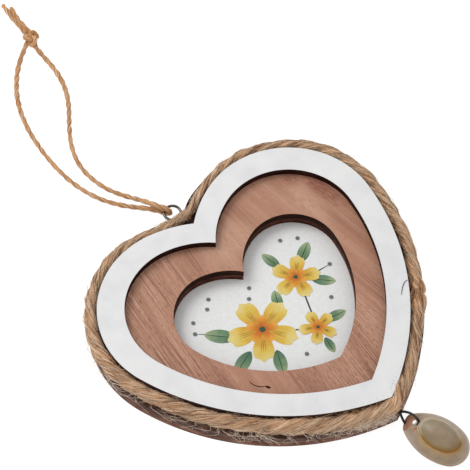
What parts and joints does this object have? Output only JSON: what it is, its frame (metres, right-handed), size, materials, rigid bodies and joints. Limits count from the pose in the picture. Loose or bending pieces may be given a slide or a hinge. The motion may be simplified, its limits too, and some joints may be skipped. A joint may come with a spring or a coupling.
{
  "type": "heart shaped picture frame",
  "caption": "Heart shaped hanging picture frame of stepped plywood layers with a jute rope round the rim, a twine loop at the cleft and a cowrie shell at the tip.",
  "frame": {"origin": "on the back face, on the heart's axis, midway between the lobes", "axes": "+Z out of the face that shows the picture, +Y towards the cleft and the hanging loop, +X to the right seen from the front"},
  "size_m": [0.1196, 0.2474, 0.012],
  "materials": {
    "white_paint": "matt white paint on plywood with burnt cut edges",
    "brown_wood": "bare satin veneer with burnt cut edges",
    "edge_wood": "bare plywood with burnt cut edges",
    "picture_print": "printed card, matt",
    "jute_rope": "natural laid jute",
    "steel_wire": "plated wire",
    "jute_twine": "natural twisted jute",
    "black_cord": "waxed cotton",
    "shell": "glossy natural shell"
  },
  "bodies": {
    "frame": {"back_board": "edge_wood", "spacer_ring": "edge_wood", "middle_panel": "brown_wood", "front_panel": "white_paint", "picture_card": "picture_print", "rim_rope": "jute_rope", "screw_eye": "steel_wire", "cord_anchor": "black_cord"},
    "hanging_loop": {"loop_left_strand": "jute_twine", "loop_right_strand": "jute_twine", "loop_knot": "jute_twine", "loop_tail_left": "jute_twine", "loop_tail_right": "jute_twine"},
    "pendant_cord": {"pendant_knot": "black_cord", "pendant_cord": "black_cord"},
    "shell": {"cowrie_shell": "shell"}
  },
  "joints": [
    {"name": "loop_fold", "type": "hinge", "parent": "frame", "child": "hanging_loop", "pos_m": [-0.00043, 0.05996, 0.0045], "axis": [0.9063, 0.4226, 0], "range_deg": [0, 120]},
    {"name": "pendant_swing", "type": "hinge", "parent": "frame", "child": "pendant_cord", "pos_m": [0, -0.05158, 0.0069], "axis": [0, 0, 1], "range_deg": [-65, 45]},
    {"name": "shell_tilt", "type": "hinge", "parent": "pendant_cord", "child": "shell", "pos_m": [0.00075, -0.05551, 0.0039], "axis": [-0.9823, -0.1874, 0], "range_deg": [0, 35]}
  ]
}
